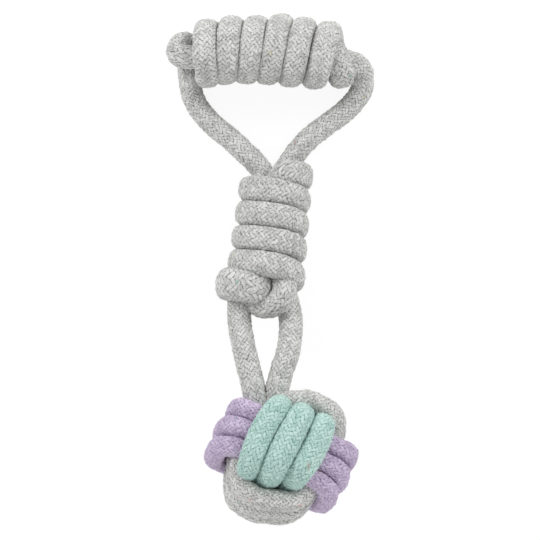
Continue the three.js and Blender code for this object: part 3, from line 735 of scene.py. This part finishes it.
def grip_point(angle):
    a = np.radians(angle)
    x = GRIP_FIRST - GRIP_PITCH * (angle - 90) / 360
    lean = 0.6 - 2.2 * smooth((8 - x) / 40)
    droop = 2.5 * smooth((x - 4) / 20) + 1.8 * smooth((-18 - x) / 10) - 0.5
    tuck = smooth((215 - angle) / 115)
    far = GRIP_ROUND + 0.9 * smooth(1 - np.abs(x - 8) / 15) - 6.5 * tuck
    # The first turn spreads to the right, and its start slips under the second.
    x = x + 0.7 * smooth((760 - angle) / 360) + 1.9 * smooth((320 - angle) / 140)
    x = x - 6.5 * smooth((185 - angle) / 95)
    # The last turns make room for the knob.
    x = x + 1.6 * smooth((-21 - x) / 6) * smooth(-np.cos(a))
    y = GRIP_Y - droop + far * np.cos(a)
    return np.stack([x + lean * np.cos(a), y, GRIP_Z + far * np.sin(a)], 1)


angles = np.arange(GRIP_FROM, GRIP_TO, 0.5)
turns = evenly(np.c_[grip_point(angles), angles])
around_grip = np.radians(turns[:, 3])
outward = np.stack([np.zeros(len(turns)), np.cos(around_grip), np.sin(around_grip)], 1)
half_turn = GRIP_PITCH / 2 * 1.04  # turns press into each other a little
rings = route(turns[:, :3], outward, wide=half_turn, square=2.6, start=300.0, stretch=1.34)
braided("grip_wraps", rings, grey, bare=False)

# %% Grip: the ends of the rope it is wound on
FULL_AGAIN = 14.0  # millimetres after which a leg's rope has its full size again


def thickening(line):
    return PULLED + (ROPE - PULLED) * smooth(np.arange(len(line)) * RING / FULL_AGAIN)


knob_points = [
    (-34.7, 83, 6), (-35.2, 88, 6.6), (-35.0, 94, 6.0), (-35.2, 98.2, 6.2), (-37.4, 99.5, 8.6),
    (-39.6, 97.2, 11.8), (-39.2, 94.6, 15.2), (-35.8, 93.2, 17.2), (-31, 93.6, 16.2), (-24, 95, 14.5),
]
line = through(knob_points)
braided("grip_knob", route(line, high=thickening(line), **leg_routes["left_leg"]["last"]), grey)

elbow_points = [
    (40.4, 83.1, 6.0), (39.9, 87.4, 7.4), (37.4, 90.2, 9.8), (32.8, 91.7, 12.2), (26, 94, 14),
    (14, 96, 14.5),
]
line = through(elbow_points)
braided("grip_elbow", route(line, high=thickening(line), **leg_routes["right_leg"]["last"]), grey)

# %% [markdown]
# ## The knot
# The rope turns round the two legs, from the lobe at the top right down to the
# lobe at the lower left. Both lobes come out of the knot's inside, so a few
# points lead the helix out and back in. The knot is tilted, because the ball
# holds its lower end off the floor. Below the last turn a bight of the rope
# shows, where it goes back into the knot.

# %% Knot: the turns
KNOT_TILT = math.radians(10)
KNOT_MIDDLE = np.array([0, 16.41, 17.9])  # millimetres
KNOT_PITCH = 10.63  # from turn to turn
KNOT_TOP = 17.6  # the first turn in front, from the middle
KNOT_DEEP = 10.1  # from the middle to the front of a turn
KNOT_FROM, KNOT_TO = -250, 1484  # degrees
LOBE_FROM, LOBE_LONG = 1296, 144  # degrees: where the last turn grows into the lobe


def from_knot(p):
    """Tilts a point of the knot and puts it in its place on the toy."""
    cos, sin = math.cos(KNOT_TILT), math.sin(KNOT_TILT)
    y = cos * p[:, 1] + sin * p[:, 2]
    z = cos * p[:, 2] - sin * p[:, 1]
    return np.stack([p[:, 0], y, z], 1) + KNOT_MIDDLE


def knot_point(angle):
    a = np.radians(angle)
    y = KNOT_TOP - KNOT_PITCH * (angle - 90) / 360
    half = 10.7 + 1.5 * np.clip((KNOT_TOP - y) / 39.9, 0, 1)
    half = half + 3.3 * smooth((angle - LOBE_FROM) / LOBE_LONG)
    shown = y - 2.0 * smooth((-180 - angle) / 90) + 0.8 * smooth((angle - 1300) / 140)
    shown = shown - 1.6 * smooth(1 - np.abs(angle - 1265) / 80)
    return np.stack([0.11 * y - half * np.cos(a), shown, KNOT_DEEP * np.sin(a)], 1)


angles = np.arange(KNOT_FROM, KNOT_TO, 6.0)
knot_start = [(0.2, 33, 13.5), (1.6, 36, 17), (3.1, 38.9, 19.8), (4.9, 41.4, 21.7)]
knot_end = [(-8.4, -5.6, 29.6), (-5.2, -6.4, 27.0), (-4.4, -6.8, 22.6), (-4.4, -6.4, 18)]
turns = through(np.r_[knot_start, from_knot(knot_point(angles)), knot_end])
print("knot", len(turns), "rings")

# %% Knot: its rope and the bight
KNOT_ENDS = (0.035, 0.965)  # shares of the length beyond which the rope leaves the winding
knot_axis = unit(np.array([0.1, math.cos(KNOT_TILT), -math.sin(KNOT_TILT)]))
from_axis = turns - KNOT_MIDDLE
from_axis = unit(from_axis - (from_axis @ knot_axis)[:, None] * knot_axis)
along_knot = np.linspace(0, 1, len(turns))
first, last = np.searchsorted(along_knot, KNOT_ENDS)
from_axis[last:] = carried(turns[last:], from_axis[last])
from_axis[:first] = carried(turns[:first][::-1], from_axis[first])[::-1]
swell = 1 + 0.3 * smooth((along_knot - 0.86) / 0.08)  # the lower lobe is slack, so it is fatter
half_high = ROPE * swell**0.3
half_wide = ROPE * 1.07 * swell
rings = route(turns, from_axis, half_high, half_wide, square=2.5, start=900.0, stretch=1.3)
braided("knot_wraps", rings, grey, bare=False)

bight_points = [
    (3, 8, 19), (4.8, 2, 21.5), (6.2, -4, 26), (5.7, -9, 28.2), (2.6, -12.8, 28.2), (-1.6, -14.1, 26.8),
    (-5.6, -12.4, 24), (-8.2, -8.6, 20.5), (-8, -2, 18.5),
]
braided("knot_bight", route(through(bight_points), (1, 0, 0), high=ROPE * 1.05, start=1400.0), grey)

# %% [markdown]
# ## The ball
# The ball is a monkey's fist. Each rope goes round three times, side by side,
# and each set of three strands goes under the next: mint over lilac, lilac over
# grey, grey over mint. Nine strands drawn by hand would never fit each other, so
# one formula lays them out round a cube, changes lane where the next rope hides
# the crossing, and then draws in the corners. A hand-tied ball isn't quite even:
# each rope has a slack of its own, by which its strands ride up or sag.

# %% Ball: strands round a cube
LANES, CORNER = 3, 10.3  # strands side by side, and the radius of a bend in millimetres
STRAND_HIGH = 4.4  # half the thickness of a strand, which is pressed flat
BALL_SIZES = {
    "mint": {
        "outer": 29.2, "inner": 18.9, "lane": 11.57, "forward": 0,
        "slack": {"up": 1.2, "right": 0.306, "curve": 0.0075},
    },
    "lilac": {
        "outer": 27.8, "inner": 19.4, "lane": 10.45, "forward": 0,
        "slack": {"up": 0.4, "right": 0.02},
    },
    "grey": {
        "outer": 27.6, "inner": 19.6, "lane": 10.4, "forward": 3.0,
        "slack": {"up": -0.4, "right": -0.05, "curve": 0.009, "corner": 3.5, "neck": 4.0, "lip": 2.2},
    },
}


def loop_point(s, long_flat, short_flat):
    """Place and outward direction on one rounded loop, at the run s from its start."""
    arc = math.pi / 2 * CORNER
    quarter = long_flat + short_flat + arc
    turn = np.floor(s / quarter).astype(int)
    along = np.where(turn % 2 == 0, s - turn * quarter, (turn + 1) * quarter - s)
    bend = np.clip((along - long_flat) / CORNER, 0, math.pi / 2)
    long = np.minimum(along, long_flat) + CORNER * np.sin(bend)
    short = short_flat + CORNER * np.cos(bend) - np.maximum(along - long_flat - arc, 0)
    sign_long = np.where(turn % 4 < 2, 1, -1)
    sign_short = np.where((turn % 4 == 0) | (turn % 4 == 3), 1, -1)
    return sign_long * long, sign_short * short, sign_long * np.sin(bend), sign_short * np.cos(bend)


# %% Ball: draw in the corners and turn it into place
def turned_about(axis, degrees):
    cos, sin = math.cos(math.radians(degrees)), math.sin(math.radians(degrees))
    j, k = (axis + 1) % 3, (axis + 2) % 3
    matrix = np.eye(3)
    matrix[j, j], matrix[j, k], matrix[k, j], matrix[k, k] = cos, -sin, sin, cos
    return matrix


BALL_TURN = turned_about(2, -21.3) @ turned_about(0, -17.2)
BALL_MIDDLE = np.array([4.75, -78.2, 32.85])
ROUNDNESS = 0.44  # 0 leaves the cube, 1 makes nearly a sphere


def settled(p, up=0, right=0, curve=0, corner=0, neck=0, lip=0):
    """Rounds the cube and lets a rope settle by its slack.

    At the ball's lower end, in front, the rope rides up: everywhere by up, more
    to the right by right, more to both sides by curve, and in one hump by lip.
    Its left corner is drawn in by corner, and the end near the legs by neck."""
    rounder = ((unit(p) ** 6).sum(1, keepdims=True) ** (1 / 6)) ** ROUNDNESS
    x, y, z = (p * rounder).T
    low = smooth(-y / 25) * smooth((z + 16) / 12)
    raised = up + right * x + curve * x * x + lip * smooth(1 - np.abs(x - 9) / 9)
    y = y + low * raised - neck * smooth(y / 25) * smooth((1.5 - x) / 12)
    x = x + low * corner * smooth(-x / 20)
    return np.stack([0.951 * x + 0.1 * y, 0.918 * y - 0.024 * x, z], 1)


print("ball turned by", np.round(BALL_TURN, 2).tolist())


# %% Ball: one rope
def ball_rope(sizes, long, short, across, start=None, direction=1):
    """The rings of one rope of the ball. Its lanes lie along across."""
    slack = sizes["slack"]
    long_flat, short_flat = sizes["outer"] - CORNER, sizes["inner"] - CORNER
    loop = 4 * (long_flat + short_flat + math.pi / 2 * CORNER)
    crossing = long_flat + 0.35 * CORNER
    first = 0.92 * long_flat
    s = np.linspace(first if start is None else start, LANES * loop - first, 2400)
    at_long, at_short, out_long, out_short = loop_point(s, long_flat, short_flat)
    turn = np.clip(np.round(s / loop), 0, LANES)
    changed = smooth((s - turn * loop + crossing) / (2 * crossing))
    lane = np.clip(turn - 1 + np.where((turn == 0) | (turn == LANES), turn == 0, changed), 0, LANES - 1)
    spread = 1 + 0.075 * np.sin(math.pi / 2 * (1 - np.abs(at_short) / sizes["inner"]))
    across_by = direction * (lane - (LANES - 1) / 2) * sizes["lane"] * spread
    across_by = across_by + sizes["forward"] * smooth(0.5 - at_long / 20)
    cube = np.outer(at_long, long) + np.outer(at_short, short) + np.outer(across_by, across)
    out = np.outer(out_long, long) + np.outer(out_short, short)
    sideways = unit(np.cross(unit(np.gradient(cube, axis=0)), out))
    sideways = sideways * (sizes["lane"] * spread / 2)[:, None]
    from_side_to_side = settled(cube + sideways, **slack) - settled(cube - sideways, **slack)
    half_width = np.linalg.norm(from_side_to_side, axis=1) / 2
    top = unit(settled(cube + out, **slack) - settled(cube - out, **slack)) @ BALL_TURN.T
    middles = settled(cube, **slack) @ BALL_TURN.T + BALL_MIDDLE
    rows = evenly(np.c_[middles, top, half_width, out_long**2])
    middles, top, half_width = rows[:, :3], unit(rows[:, 3:6]), rows[:, 6]
    seen = smooth(rows[:, 7] * 4)
    return route(middles, top, STRAND_HIGH, half_width, 2.1, seen, start=2000.0, stretch=1.06)


# %% Ball: the three ropes and the necks
X, Y, Z = np.eye(3)
BALL_SIDES = min(SIDES, 72)
braided("ball_mint", ball_rope(BALL_SIZES["mint"], Z, -Y, X), mint, False, BALL_SIDES)
braided("ball_lilac", ball_rope(BALL_SIZES["lilac"], X, -Z, Y), lilac, False, BALL_SIDES)
grey_start = BALL_SIZES["grey"]["outer"] - CORNER + 0.8 * math.pi / 2 * CORNER
braided("ball_grey", ball_rope(BALL_SIZES["grey"], Y, -X, Z, grey_start, -1), grey, False, BALL_SIDES)

neck_left = [(-7.5, -47.4, 35.1), (-6.4, -52.4, 35.6), (-4.4, -57, 34), (-1, -62, 30)]
neck_right = [(3.6, -47.4, 35.1), (2.4, -52, 34.6), (1.6, -57, 32), (0.5, -62, 28)]
braided("ball_neck_left", route(through(neck_left), **leg_routes["lower_left_leg"]["last"]), grey)
braided("ball_neck_right", route(through(neck_right), **leg_routes["lower_right_leg"]["last"]), grey)

# %% [markdown]
# ## The heart of the ball
# A monkey's fist is tied round something, or it falls in. Here that is a wad of
# the same grey cotton, squeezed out towards the eight corners where three ropes
# meet. It shows only as a dark softness deep between the strands, so a sphere
# of a few thousand faces, pulled into shape point by point, is enough.

# %% Heart
HEART = 14.6  # millimetres from its middle to a face
heart_mesh = bpy.data.meshes.new("ball_heart")
shape = bmesh.new()
bmesh.ops.create_icosphere(shape, subdivisions=4, radius=1.0)
for vertex in shape.verts:
    at_corner = abs(vertex.co.x * vertex.co.y * vertex.co.z) * 27**0.5
    reach = HEART * (1 + 0.5 * at_corner + 0.05 * noise.noise(vertex.co * 3))
    vertex.co = Vector((BALL_MIDDLE + BALL_TURN @ np.array(vertex.co) * reach) * MM)
shape.to_mesh(heart_mesh)
shape.free()
heart = bpy.data.objects.new("ball_heart", heart_mesh)
bpy.context.scene.collection.objects.link(heart)
heart_mesh.shade_smooth()
wadding, _ = plain_cotton("core_wadding", (0.5, 0.5, 0.49))
heart_mesh.materials.append(wadding)
pieces["ball_heart"] = (heart,)
print("heart", len(heart_mesh.polygons), "faces")

# %% [markdown]
# ## What each piece rides on
# A wound or woven piece stays on one body. A leg crosses the hinge at the knot.
# Cut there, it would open a gap when the loop folds, so it is not cut: it rides
# on no body and stays where it lies.

# %% Ride and replace
RIDES = {  # the body, and the CAD node that the piece stands for
    "grip_wraps": ("grip", "grip_winding"),
    "grip_knob": ("grip", "grip_end_hook"),
    "grip_elbow": ("grip", "grip_core"),
    "knot_wraps": ("knot", "knot_winding"),
    "knot_bight": ("knot", "knot_strand_right"),
    "ball_mint": ("ball", "ball_mint_rope"),
    "ball_lilac": ("ball", "ball_lilac_rope"),
    "ball_grey": ("ball", "ball_grey_rope"),
    "ball_neck_left": ("ball", "ball_grey_tail"),
    "ball_neck_right": ("ball",),
    "ball_heart": ("ball", "ball_core"),
}
BLENDS = {  # the body beyond the knot, the stretch of Y in which the leg bends, the CAD nodes
    "left_leg": ("upper_loop", 47, 61, "upper_leg_left", "knot_strand_left"),
    "right_leg": ("upper_loop", 47, 61, "upper_leg_right"),
    "lower_left_leg": ("lower_loop", -17, -28, "lower_leg_left"),
    "lower_right_leg": ("lower_loop", -17, -28, "lower_leg_right", "knot_tail_right"),
}
for name, (body, *stands_for) in RIDES.items():
    for obj in pieces[name]:
        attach(obj, body)
    if stands_for:
        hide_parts(*stands_for)
for name, (body, start, end, *stands_for) in BLENDS.items():
    for obj in pieces[name]:
        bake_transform(obj)
    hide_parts(*stands_for)
print(len(RIDES), "pieces ride on one body,", len(BLENDS), "bend between two")

# %% [markdown]
# ## The free rope
# The two upper legs are the toy's free rope: they run loose from the knot to the
# grip. The line that each of them follows is taken here in metres. The lower
# legs are too short to hang.

# %% Cords
for name in ("left_leg", "right_leg"):
    line = leg_lines[name] * MM
